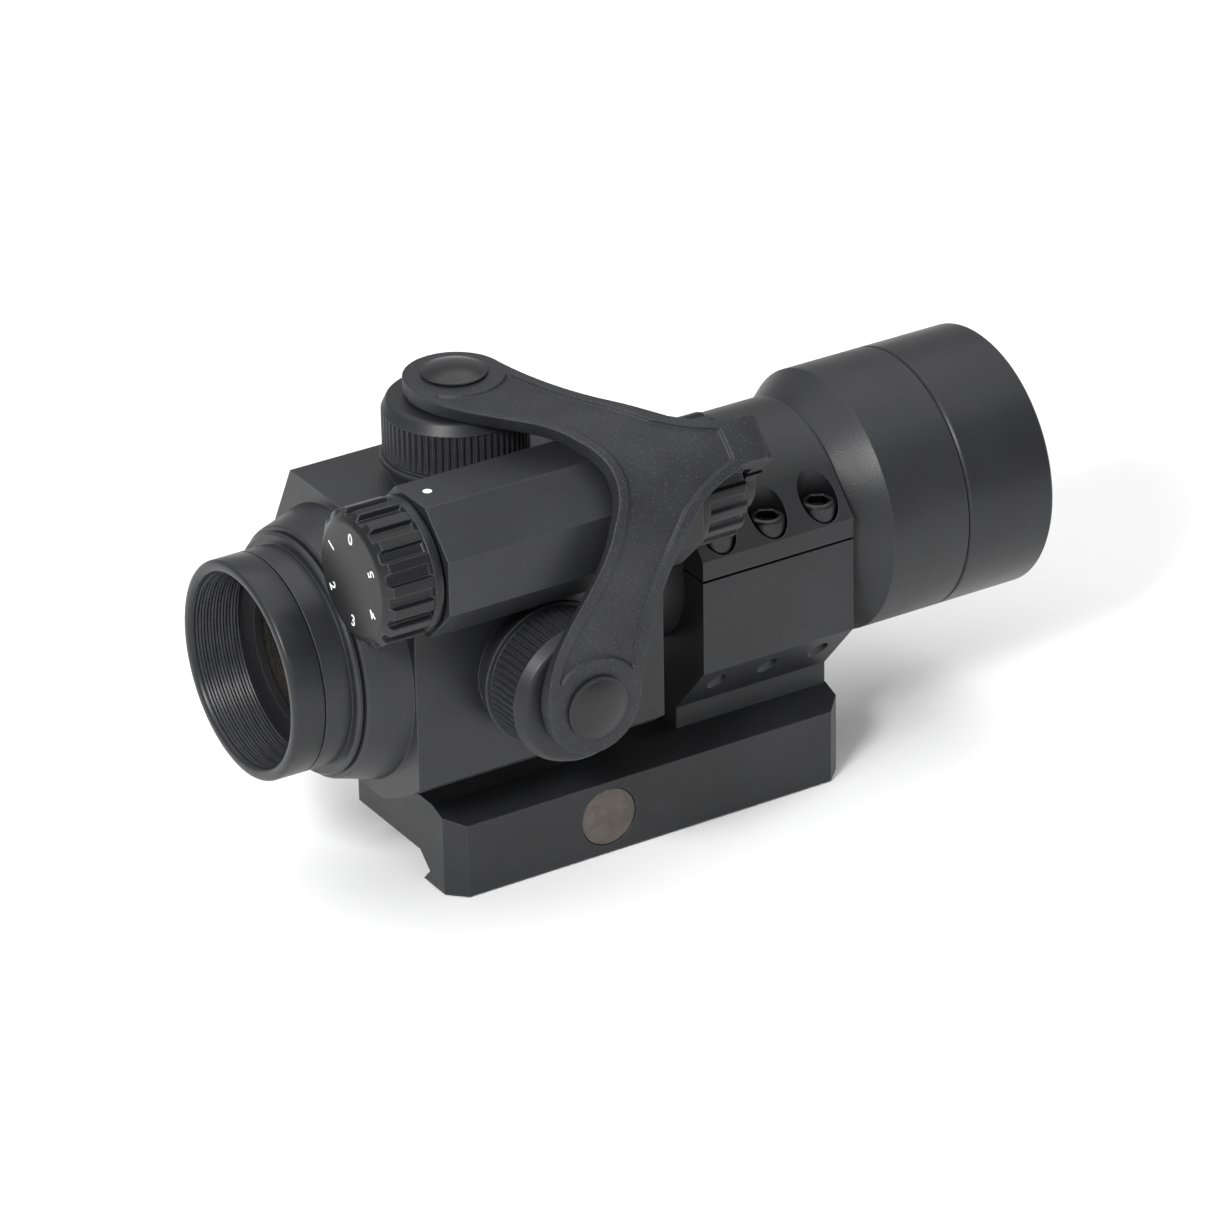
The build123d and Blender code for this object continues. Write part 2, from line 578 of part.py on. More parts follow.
# ---- brightness dial and switch ----------------------------------------------------------
def brightness_dial():
    rib = DIAL_R - DIAL_RIB_DEPTH
    chamfer = DIAL_R - DIAL_FACE_R
    core = turned([
        (DIAL_BACK, 0), (DIAL_BACK, DIAL_FACE_R), (DIAL_BACK + chamfer * 0.55, rib),
        (DIAL_FRONT - DIAL_REAR_RING, rib), (DIAL_FRONT - DIAL_REAR_RING, DIAL_R - 0.3),
        (DIAL_FRONT, DIAL_R - 0.3), (DIAL_FRONT, 0),
    ])
    ribs = toothed(DIAL_BACK, DIAL_FRONT - DIAL_REAR_RING, DIAL_R, rib - 0.3, DIAL_RIBS, 0.52)
    ribs &= turned([
        (DIAL_BACK, 0), (DIAL_BACK, DIAL_FACE_R), (DIAL_BACK + chamfer * 0.6, DIAL_R),
        (DIAL_FRONT, DIAL_R), (DIAL_FRONT, 0),
    ])
    return HOUSE * (core + ribs - tube(DIAL_BACK + 3, DIAL_FRONT + 1, SHAFT_R + 0.02))


SWITCH_BACK = HOUSE_BACK + HOUSE_WALL + SEAT_GAP
SWITCH_LEN = 7.0
SWITCH_R = 7.5
BOARD_T = 1.2
BATTERY_FRONT = CAP_BACK - CAP_SPIGOT - SOFT_GAP
BATTERY_BACK = BATTERY_FRONT - BATTERY_LEN
parts["brightness_dial"] = brightness_dial()
parts["dial_shaft"] = HOUSE * tube(DIAL_BACK + 3.1, SWITCH_BACK + SWITCH_LEN - 1, SHAFT_R)
parts["detent_ball"] = HOUSE * Pos(HOUSE_BACK + 0.9, DETENT_OFFSET, 0) * Sphere(DETENT_BALL_R)
parts["brightness_switch"] = HOUSE * (
    tube(SWITCH_BACK, SWITCH_BACK + SWITCH_LEN, SWITCH_R)
    - tube(SWITCH_BACK - 1, SWITCH_BACK + SWITCH_LEN - 0.8, SHAFT_R + RUN))
parts["circuit_board"] = HOUSE * tube(
    SWITCH_BACK + SWITCH_LEN + SEAT_GAP, SWITCH_BACK + SWITCH_LEN + SEAT_GAP + BOARD_T, HOUSE_BORE_R - 0.2)
parts["battery"] = HOUSE * tube(BATTERY_BACK, BATTERY_FRONT, BATTERY_R)


def battery_sleeve():
    start = BATTERY_BACK - 1
    return HOUSE * tube(start, BATTERY_FRONT - 0.5, HOUSE_BORE_R - 0.1, BATTERY_R + 0.15)


def battery_spring():
    wire = 0.35
    start = SWITCH_BACK + SWITCH_LEN + BOARD_T + 3 * SEAT_GAP + wire
    length = BATTERY_BACK - start - 2 * wire
    path = Helix(pitch=length / 4, height=length, radius=4.0)
    coil = sweep(Plane(origin=path @ 0, z_dir=path % 0) * Circle(wire), path=path)
    return HOUSE * Pos(start + wire, 0, 0) * Rot(0, 90, 0) * coil


def battery_cap():
    rib = CAP_R - CAP_FLUTE_DEPTH
    head = turned([
        (CAP_BACK, 0), (CAP_BACK, CAP_R), (CAP_BACK + 1.4, CAP_R), (CAP_BACK + 1.4, rib),
        (CAP_FRONT - 0.6, rib), (CAP_FRONT, rib - 0.6), (CAP_FRONT, 0),
    ])
    head += toothed(CAP_BACK + 1.4, CAP_FRONT - 0.6, CAP_R, rib - 0.3, CAP_FLUTES, 0.45)
    head += tube(CAP_BACK - CAP_SPIGOT, CAP_BACK + 1, HOUSE_BORE_R - RUN)
    head -= o_ring(CAP_BACK - 2.2, HOUSE_BORE_R - 0.3, 0.9)
    return HOUSE * (head - tube(CAP_FRONT - 4, CAP_FRONT + 1, STUD_R * 0.7))


parts["battery_sleeve"] = battery_sleeve()
parts["battery_spring"] = battery_spring()
parts["battery_cap"] = battery_cap()
parts["battery_cap_seal"] = HOUSE * o_ring(CAP_BACK - 2.2, HOUSE_BORE_R - 0.8, 0.38)
parts["battery_cap_stud"] = HOUSE * Pos(CAP_FRONT, 0, 0) * cap_stud(END_STUD_HEAD_R)


# ---- rubber keeper strap: a bent Y-shaped sheet with three eyes --------------------------
SLANT = Plane(origin=(0, HOUSE_Y, HOUSE_Z), x_dir=(1, 0, 0), z_dir=(0, -1, 1))
EYE_S = STRAP_TOP / math.sqrt(2)          # adjuster axes in the slanted plane
TONGUE_HALF = 4.2


def fold_band(skin, thickness):
    """Sheet bent over the housing corner: flat on top, slanted, upright on the right."""
    def line(depth):
        reach = STRAP_TOP - depth
        diag = (STRAP_DIAG - depth) * math.sqrt(2)
        bend_y = HOUSE_Y + (AXIS_H + reach - HOUSE_Z) - diag
        bend_z = HOUSE_Z + (HOUSE_Y + reach) * -1 + diag
        return [(0, AXIS_H + reach), (bend_y, AXIS_H + reach), (-reach, bend_z), (-reach, AXIS_H)]
    outer = line(skin)
    inner = line(skin + thickness)
    return section(outer + inner[::-1], ADJ_X - 2 * EYE_R, CAP_FRONT)


def shifted(points, amount):
    """Points moved to the left of their own direction of travel."""
    moved = []
    for i, (x, y) in enumerate(points):
        before = points[max(i - 1, 0)]
        after = points[min(i + 1, len(points) - 1)]
        dx, dy = after[0] - before[0], after[1] - before[1]
        run = math.hypot(dx, dy)
        moved.append((x - dy / run * amount, y + dx / run * amount))
    return moved


def strap_outline(inset=0.0):
    """Seen square to the slanted middle; the two long arms mirror each other."""
    back = [
        (ADJ_X - EYE_R, EYE_S), (ADJ_X - 8.4, EYE_S - 5.4), (ADJ_X - 1.2, EYE_S - 14.6),
        (ADJ_X + 5.8, EYE_S - 23.5), (ADJ_X + 7.8, 0),
    ]
    front = [
        (CAP_FRONT - 4.2, TONGUE_HALF + 0.4), (ADJ_X + 17.6, EYE_S - 18.2),
        (ADJ_X + 11.2, EYE_S - 8.6), (ADJ_X + EYE_R, EYE_S),
    ]
    back_all = shifted(back + [(x, -s) for x, s in reversed(back[:-1])], inset)
    front_low = shifted(front, inset)
    front_high = [(x, -s) for x, s in reversed(front_low)]
    return Wire([
        Spline(*back_all).edge(),
        Edge.make_line(back_all[-1], front_high[0]),
        Spline(*front_high).edge(),
        Edge.make_line(front_high[-1], front_low[0]),
        Spline(*front_low).edge(),
        Edge.make_line(front_low[-1], back_all[0]),
    ])


def retaining_strap():
    face = make_face(strap_outline())
    below = EYE_S * 1.2
    prism = extrude(SLANT * Pos(0, 0, -below) * face, below + STRAP_DIAG + 1)
    sheet = fold_band(0, STRAP_T) & prism
    recess = make_face(strap_outline(RIM_W))
    cutter = extrude(SLANT * Pos(0, 0, -below) * recess, below + STRAP_DIAG + 1)
    cutter &= fold_band(0, RIM_H)
    eye_in = CAP_FRONT + STRAP_TOP - SHOULDER_TOP - STRAP_T
    eye_out = eye_in + STRAP_T
    for place in (TOP_ADJUSTER, RIGHT_ADJUSTER):
        sheet = sheet + place * tube(STRAP_TOP - STRAP_T, STRAP_TOP, EYE_R)
        cutter = cutter - place * tube(STRAP_TOP - STRAP_T - 1, STRAP_TOP + 1, EYE_R)
    tongue = block((0, eye_out), (-TONGUE_HALF, TONGUE_HALF), (STRAP_DIAG - STRAP_T, STRAP_DIAG))
    leg = block((eye_in, eye_out), (-TONGUE_HALF, TONGUE_HALF), (0, STRAP_DIAG))
    sheet = sheet + SLANT.location * (tongue + leg)
    sheet = sheet + HOUSE * tube(eye_in, eye_out, END_EYE_R)
    sheet = sheet - cutter
    for place in (TOP_ADJUSTER, RIGHT_ADJUSTER):
        sheet = sheet - place * tube(STRAP_TOP - STRAP_T - 1, STRAP_TOP + 1, EYE_HOLE_R)
    return sheet - HOUSE * tube(eye_in - 1, eye_out + 1, EYE_HOLE_R)


parts["retaining_strap"] = retaining_strap()

for name, shape in parts.items():
    export_step(shape, "parts/" + name + ".step")
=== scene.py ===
import json
import math

import bmesh
import bpy
from mathutils import Matrix, Vector


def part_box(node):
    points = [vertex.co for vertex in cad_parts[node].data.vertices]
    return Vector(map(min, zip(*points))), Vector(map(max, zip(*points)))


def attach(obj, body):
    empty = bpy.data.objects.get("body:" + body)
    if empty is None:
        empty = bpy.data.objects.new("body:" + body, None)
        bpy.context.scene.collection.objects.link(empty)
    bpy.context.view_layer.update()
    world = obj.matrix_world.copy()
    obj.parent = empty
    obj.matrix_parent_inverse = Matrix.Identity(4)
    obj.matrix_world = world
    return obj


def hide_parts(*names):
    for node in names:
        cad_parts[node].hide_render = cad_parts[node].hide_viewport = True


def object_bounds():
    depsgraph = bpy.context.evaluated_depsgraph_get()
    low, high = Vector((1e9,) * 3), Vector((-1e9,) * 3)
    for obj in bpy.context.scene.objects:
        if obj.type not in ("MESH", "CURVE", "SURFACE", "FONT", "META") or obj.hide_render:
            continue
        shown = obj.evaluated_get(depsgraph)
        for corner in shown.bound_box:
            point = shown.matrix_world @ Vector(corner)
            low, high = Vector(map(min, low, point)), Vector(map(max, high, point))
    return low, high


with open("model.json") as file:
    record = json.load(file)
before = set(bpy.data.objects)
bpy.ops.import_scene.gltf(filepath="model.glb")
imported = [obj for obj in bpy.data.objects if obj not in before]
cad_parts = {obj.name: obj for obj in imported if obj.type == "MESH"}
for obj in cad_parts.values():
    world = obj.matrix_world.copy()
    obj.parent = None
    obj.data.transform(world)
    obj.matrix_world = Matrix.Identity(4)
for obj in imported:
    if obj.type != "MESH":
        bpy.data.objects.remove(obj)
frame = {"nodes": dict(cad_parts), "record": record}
CAD_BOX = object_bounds()

MM = 0.001
nodes = frame["nodes"]
scene = bpy.context.scene

# ======================================================================================
# Materials
# ======================================================================================


class Shader:
    """A Principled material with short calls for the nodes that feed it."""

    def __init__(self, name):
        self.mat = bpy.data.materials.new(name)
        self.mat.use_nodes = True
        self.tree = self.mat.node_tree
        self.out = self.tree.nodes["Principled BSDF"]
        self.space = self.add("ShaderNodeTexCoord").outputs["Object"]

    def add(self, kind, **sockets):
        node = self.tree.nodes.new(kind)
        for key, value in sockets.items():
            node.inputs[key.replace("_", " ")].default_value = value
        return node

    def link(self, a, b):
        self.tree.links.new(a, b)

    def noise(self, size, detail=2.0, stretch=None):
        """Noise with features of about this size in metres."""
        node = self.add("ShaderNodeTexNoise", Scale=1.0 / size, Detail=detail)
        source = self.space
        if stretch:
            mapping = self.add("ShaderNodeMapping")
            mapping.inputs["Scale"].default_value = stretch
            self.link(source, mapping.inputs["Vector"])
            source = mapping.outputs["Vector"]
        self.link(source, node.inputs["Vector"])
        return node.outputs["Fac"]

    def ramp(self, source, stops):
        node = self.add("ShaderNodeValToRGB")
        while len(node.color_ramp.elements) < len(stops):
            node.color_ramp.elements.new(0.5)
        for element, (place, colour) in zip(node.color_ramp.elements, stops):
            element.position = place
            element.color = (*colour, 1) if len(colour) == 3 else colour
        self.link(source, node.inputs["Fac"])
        return node.outputs["Color"]

    def math(self, operation, a, b=None, clamp=False):
        node = self.add("ShaderNodeMath")
        node.operation = operation
        node.use_clamp = clamp
        for socket, value in zip(node.inputs, (a, b)):
            if value is None:
                continue
            if isinstance(value, (int, float)):
                socket.default_value = value
            else:
                self.link(value, socket)
        return node.outputs[0]

    def mix(self, factor, a, b):
        node = self.add("ShaderNodeMix")
        node.data_type = "RGBA"
        for socket, value in zip((node.inputs[0], node.inputs[6], node.inputs[7]), (factor, a, b)):
            if isinstance(value, (int, float)):
                socket.default_value = value
            elif isinstance(value, tuple):
                socket.default_value = (*value, 1)
            else:
                self.link(value, socket)
        return node.outputs[2]

    def edges(self, radius, low=0.02, high=0.25):
        """0 on flats to 1 on convex and concave edges."""
        bevel = self.add("ShaderNodeBevel", Radius=radius)
        bevel.samples = 4
        normal = self.add("ShaderNodeNewGeometry").outputs["Normal"]
        dot = self.add("ShaderNodeVectorMath")
        dot.operation = "DOT_PRODUCT"
        self.link(bevel.outputs["Normal"], dot.inputs[0])
        self.link(normal, dot.inputs[1])
        away = self.math("SUBTRACT", 1.0, dot.outputs["Value"])
        node = self.add("ShaderNodeMapRange")
        node.inputs["From Min"].default_value = low
        node.inputs["From Max"].default_value = high
        self.link(away, node.inputs["Value"])
        return node.outputs["Result"]

    def bump(self, height, depth, soft_edge=0.0, strength=1.0):
        node = self.add("ShaderNodeBump", Strength=strength, Distance=depth)
        self.link(height, node.inputs["Height"])
        if soft_edge:
            bevel = self.add("ShaderNodeBevel", Radius=soft_edge)
            bevel.samples = 6
            self.link(bevel.outputs["Normal"], node.inputs["Normal"])
        self.link(node.outputs["Normal"], self.out.inputs["Normal"])

    def set(self, **sockets):
        for key, value in sockets.items():
            socket = self.out.inputs[key.replace("_", " ")]
            if isinstance(value, (int, float)):
                socket.default_value = value
            elif isinstance(value, tuple):
                socket.default_value = (*value, 1)
            else:
                self.link(value, socket)
        return self


def grey(level, warmth=0.0):
    return (level * (0.97 + warmth), level * 0.985, level * 1.09 * (1 - warmth))


def anodised(name, level, rough, grain=0.00034, depth=0.00002, turned=None, worn=0.5, gloss=0.36):
    """Black anodised aluminium: bead-blast grain, faint clouding, slightly worn edges."""
    s = Shader(name)
    cloud = s.ramp(s.noise(0.018, 4), [(0.3, grey(level * 0.82)), (0.72, grey(level * 1.2))])
    speck = s.ramp(s.noise(grain * 1.6, 2), [(0.62, (0, 0, 0)), (0.8, (1, 1, 1))])
    colour = s.mix(s.math("MULTIPLY", speck, 0.22), cloud, grey(level * 2.6))
    scuff = s.math("MULTIPLY", s.edges(0.00035), s.noise(0.0015, 3))
    colour = s.mix(s.math("MULTIPLY", scuff, worn, True), colour, grey(0.16, 0.02))
    s.set(Base_Color=colour, Metallic=0.0, Specular_IOR_Level=gloss)
    patch = s.add("ShaderNodeMapRange")
    patch.inputs["To Min"].default_value = rough - 0.06
    patch.inputs["To Max"].default_value = rough + 0.08
    s.link(s.noise(0.006, 5), patch.inputs["Value"])
    s.set(Roughness=patch.outputs["Result"])
    height = s.noise(grain, 3)
    if turned:
        rings = s.add("ShaderNodeTexWave", Scale=1.0 / turned / 6.28, Distortion=0.6, Detail=2.0)
        rings.bands_direction = "X"
        s.link(s.space, rings.inputs["Vector"])
        height = s.math("ADD", height, s.math("MULTIPLY", rings.outputs["Fac"], 0.5))
    s.bump(height, depth, soft_edge=0.00022)
    return s.mat


def moulded_rubber(name, level, rough, speckle):
    """Black rubber with a fine pale speckle and a dry, slightly dusty face."""
    s = Shader(name)
    dust = s.ramp(s.noise(0.009, 5), [(0.3, grey(level * 0.8)), (0.75, grey(level * 1.5))])
    spots = s.add("ShaderNodeTexVoronoi", Scale=1.0 / 0.00026)
    s.link(s.space, spots.inputs["Vector"])
    pick = s.add("ShaderNodeSeparateColor")
    s.link(spots.outputs["Color"], pick.inputs["Color"])
    chosen = s.math("GREATER_THAN", pick.outputs[0], 0.86)
    near = s.math("LESS_THAN", spots.outputs["Distance"], 0.34)
    dots = s.math("MULTIPLY", s.math("MULTIPLY", chosen, near), speckle)
    colour = s.mix(dots, dust, grey(0.16, 0.03))
    rubbed = s.math("MULTIPLY", s.edges(0.0005), 0.10)
    colour = s.mix(rubbed, colour, grey(0.12))
    s.set(Base_Color=colour, Roughness=rough, Specular_IOR_Level=0.34)
    s.bump(s.math("ADD", s.noise(0.00035, 3), s.math("MULTIPLY", dots, 0.8)), 0.00003)
    return s.mat


def moulded_plastic(name, level, rough):
    s = Shader(name)
    tone = s.ramp(s.noise(0.012, 3), [(0.3, grey(level * 0.85)), (0.7, grey(level * 1.15))])
    rubbed = s.math("MULTIPLY", s.edges(0.0004), s.math("MULTIPLY", s.noise(0.0012, 3), 0.7))
    s.set(Base_Color=s.mix(rubbed, tone, grey(0.16)), Roughness=rough, Specular_IOR_Level=0.30)
    s.bump(s.noise(0.0003, 3), 0.000014, soft_edge=0.00018)
    return s.mat


def bare_metal(name, colour, rough, grain=0.0004):
    s = Shader(name)
    dark = tuple(c * 0.72 for c in colour)
    tone = s.ramp(s.noise(0.0016, 6), [(0.3, dark), (0.7, colour)])
    s.set(Base_Color=tone, Metallic=1.0)
    patch = s.add("ShaderNodeMapRange")
    patch.inputs["To Min"].default_value = rough - 0.08
    patch.inputs["To Max"].default_value = rough + 0.1
    s.link(s.noise(0.003, 4), patch.inputs["Value"])
    s.set(Roughness=patch.outputs["Result"])
    s.bump(s.noise(grain, 4), 0.00002, soft_edge=0.0001)
    return s.mat


def coated_glass(name, tint_darkened_as_painted_shade):
    s = Shader(name)
    # Amber mixed into the base colour towards grazing angles is a painted reflection of the lens
    # coating.
    painted_coating_reflection = s.add("ShaderNodeLayerWeight", Blend=0.35)
    # The tint is far darker than clear glass: this is painted shade standing in for the dark inside of
    # the sight.
    colour = s.mix(painted_coating_reflection.outputs["Facing"], tint_darkened_as_painted_shade, (0.55, 0.42, 0.30))
    s.set(Base_Color=colour, Roughness=0.02, IOR=1.5, Transmission_Weight=0.96)
    s.set(Specular_IOR_Level=0.6)
    smear = s.ramp(s.noise(0.01, 3), [(0.4, (0, 0, 0)), (0.9, (1, 1, 1))])
    s.bump(smear, 0.0000015)
    return s.mat


def plain_paint(name, colour, rough, grain=0.0002):
    """Printed or dyed finish with a slight break-up."""
    s = Shader(name)
    worn = tuple(c * 0.82 for c in colour)
    s.set(Base_Color=s.ramp(s.noise(0.0006, 4), [(0.35, worn), (0.6, colour)]), Roughness=rough)
    s.bump(s.noise(grain, 2), 0.00001)
    return s.mat


def circuit_green(name):
    s = Shader(name)
    weave = s.noise(0.0003, 1, (1, 6, 1))
    tracks = s.ramp(s.noise(0.002, 0), [(0.49, (0.02, 0.13, 0.05)), (0.52, (0.05, 0.24, 0.1))])
    s.set(Base_Color=tracks, Roughness=0.35, Coat_Weight=0.3)
    s.bump(weave, 0.00001)
    return s.mat


LOOKS = {
    "anodised_black": anodised("anodised_black", 0.0165, 0.40, depth=0.000032),
    "hood_black": anodised("hood_black", 0.016, 0.34, depth=0.00001, turned=0.0004, gloss=0.30),
    "cap_black": anodised("cap_black", 0.015, 0.42, depth=0.000012, worn=0.8, gloss=0.30),
    "inner_black": anodised("inner_black", 0.010, 0.6, worn=0.1),
    "dial_plastic": moulded_plastic("dial_plastic", 0.008, 0.34),
    "strap_rubber": moulded_rubber("strap_rubber", 0.015, 0.55, 0.3),
    "stud_rubber": moulded_rubber("stud_rubber", 0.009, 0.22, 0.05),
    "seal_rubber": moulded_rubber("seal_rubber", 0.012, 0.5, 0.0),
    "steel_bare": bare_metal("steel_bare", (0.16, 0.145, 0.13), 0.55),
    "steel_black": bare_metal("steel_black", (0.05, 0.05, 0.052), 0.36),
    "spring_steel": bare_metal("spring_steel", (0.55, 0.55, 0.56), 0.3),
    "battery_metal": bare_metal("battery_metal", (0.66, 0.66, 0.68), 0.22),
    "brass": bare_metal("brass", (0.72, 0.5, 0.2), 0.33),
    # The dark lens tint is painted shade for the dark inside of the sight, not the glass's own colour.
    "lens_glass": coated_glass("lens_glass", (0.26, 0.31, 0.34)),
    "board_green": circuit_green("board_green"),
    "led_red": plain_paint("led_red", (0.6, 0.03, 0.02), 0.2),
    "sleeve_plastic": plain_paint("sleeve_plastic", (0.62, 0.6, 0.55), 0.5),
}
PRINT_WHITE = plain_paint("print_white", (0.82, 0.82, 0.80), 0.5)
SLOT_OF = {part["node"]: part["material_slot"] for part in frame["record"]["subparts"]}


def dress(obj, material, sharp_deg=32):
    obj.data.materials.clear()
    obj.data.materials.append(material)
    obj.data.shade_smooth()
    obj.data.set_sharp_from_angle(angle=math.radians(sharp_deg))


for node_name, node in nodes.items():
    node.data.materials.clear()
    node.data.materials.append(LOOKS[SLOT_OF[node_name]])

# ======================================================================================
# Mesh helpers
# ======================================================================================


def body_name(node_name):
    for body, members in frame["record"]["behaviour"]["bodies"].items():
        if node_name in members:
            return body


def new_object(name, mesh, node_name, material=None, sharp_deg=32):
    obj = bpy.data.objects.new(name, mesh)
    scene.collection.objects.link(obj)
    slot = SLOT_OF[node_name]
    dress(obj, material or LOOKS[slot], sharp_deg)
    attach(obj, body_name(node_name))
    return obj


def axis_frame(origin, direction):
    """Matrix whose local +X runs along direction from origin."""
    turn = Vector((1, 0, 0)).rotation_difference(Vector(direction))
    return Matrix.Translation(origin) @ turn.to_matrix().to_4x4()


def lathe(name, profile, place, segments, shape=None):
    """Turns (along, radius) points in mm about local +X.

    shape(along, radius, angle), if given, returns the radius to use at that angle.
    """
    bm = bmesh.new()
    rings = []
    for along, radius in profile:
        if radius < 1e-6:
            rings.append([bm.verts.new((along * MM, 0, 0))])
            continue
        ring = []
        for i in range(segments):
            angle = 2 * math.pi * i / segments
            r = (shape(along, radius, angle) if shape else radius) * MM
            ring.append(bm.verts.new((along * MM, r * math.cos(angle), r * math.sin(angle))))
        rings.append(ring)
    closed = len(rings[0]) > 1 and len(rings[-1]) > 1
    pairs = list(zip(rings, rings[1:])) + ([(rings[-1], rings[0])] if closed else [])
    for a, b in pairs:
        for i in range(segments):
            j = (i + 1) % segments
            corners = [a[i % len(a)], a[j % len(a)], b[j % len(b)], b[i % len(b)]]
            corners = list(dict.fromkeys(corners))
            if len(corners) > 2:
                bm.faces.new(corners)
    bmesh.ops.recalc_face_normals(bm, faces=bm.faces)
    bm.transform(place)
    mesh = bpy.data.meshes.new(name)
    bm.to_mesh(mesh)
    bm.free()
    return mesh


def spaced(start, end, count):
    return [start + (end - start) * i / (count - 1) for i in range(count)]


def wave(angle, count, land, soft):
    """1 on a rib's land, 0 in the groove, with sloping flanks of the given share of the pitch."""
    phase = (angle * count / (2 * math.pi)) % 1.0
    away = abs(phase - 0.5) * 2
    return min(1.0, max(0.0, (land + soft - away) / soft))


def applied(obj, *modifiers):
    """Evaluates the object's modifiers into its mesh."""
    graph = bpy.context.evaluated_depsgraph_get()
    mesh = bpy.data.meshes.new_from_object(obj.evaluated_get(graph))
    obj.modifiers.clear()
    obj.data = mesh
    return obj


# ======================================================================================
# Knurled adjuster caps
# ======================================================================================


def adjuster_cap(node_name, direction):
    low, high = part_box(node_name)
    centre = (low + high) / 2
    d = Vector(direction)
    length = abs((high - low).dot(d)) / MM
    rim = (max(high - low) / 2) / MM
    place = axis_frame(centre - d * length * MM / 2, direction)
    knurl = rim - 0.4
    knurl_start, knurl_end = 1.75, length - 2.4
    ridge = 0.42
    ridges = 64
    steps_per_ridge = 8

    def shape(along, radius, angle):
        if radius < knurl - 0.6 or not knurl_start < along < knurl_end + 0.02:
            return radius
        fade = min(1.0, (along - knurl_start) / 0.5, (knurl_end + 0.06 - along) / 0.28)
        return radius - ridge * max(0.0, fade) * (1 - wave(angle, ridges, 0.25, 0.75))

    profile = [(length - 4, 0), (length - 4, 8.55), (1.6, 8.55), (1.6, 10.2), (0, 10.2)]
    profile += [(0, rim - 0.2), (0.08, rim - 0.06), (0.22, rim)]
    profile += [(1.0, rim), (1.14, rim - 0.06), (1.2, rim - 0.2)]
    profile += [(1.3, knurl - 0.42), (1.6, knurl - 0.42), (1.75, knurl - 0.3)]
    profile += [(x, knurl) for x in spaced(knurl_start + 0.15, knurl_end - 0.3, 5)]
    profile += [(x, knurl) for x in spaced(knurl_end - 0.24, knurl_end, 5)]
    profile += [(knurl_end + 0.05, knurl - 0.02), (knurl_end + 0.12, knurl - 0.08)]
    profile += [(length - 0.75, knurl - 0.75), (length - 0.5, knurl - 0.95)]
    profile += [(length - 0.3, knurl - 1.3), (length - 0.22, knurl - 1.9)]
    profile += [(length - 0.12, knurl - 4.0), (length - 0.02, 6.0), (length, 2.4)]
    profile += [(length - 3, 2.4), (length - 3, 0)]
    mesh = lathe(node_name + "_knurled", profile, place, ridges * steps_per_ridge, shape)
    obj = new_object(node_name + "_knurled", mesh, node_name, sharp_deg=26)
    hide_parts(node_name)


adjuster_cap("elevation_cap", (0, 0, 1))
adjuster_cap("windage_cap", (0, -1, 0))


# ======================================================================================
# Strap studs
# ======================================================================================


def stud(node_name, direction):
    low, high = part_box(node_name)
    d = Vector(direction)
    centre = (low + high) / 2
    length = abs((high - low).dot(d)) / MM
    head = (max((high - low)[i] for i in range(3) if abs(d[i]) < 0.5) / 2) / MM
    place = axis_frame(centre - d * length * MM / 2, direction)
    under = length - 1.4
    profile = [(0, 0), (0, 2.3), (2.9, 2.3), (3.1, 3.4), (under, 3.4)]
    profile += [(under, head - 0.45), (under + 0.06, head - 0.15), (under + 0.22, head)]
    profile += [(under + 0.42, head - 0.05), (under + 0.52, head - 0.28)]
    dome = head - 0.3
    for share in spaced(1.0, 0.0, 12):
        profile.append((length - (1.4 - 0.52) * share ** 2, dome * share))
    mesh = lathe(node_name + "_domed", profile, place, 96)
    obj = new_object(node_name + "_domed", mesh, node_name, sharp_deg=40)
    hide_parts(node_name)


stud("elevation_cap_stud", (0, 0, 1))
stud("windage_cap_stud", (0, -1, 0))
stud("battery_cap_stud", (1, 0, 0))


# ======================================================================================
# Brightness dial with its printed digits
# ======================================================================================


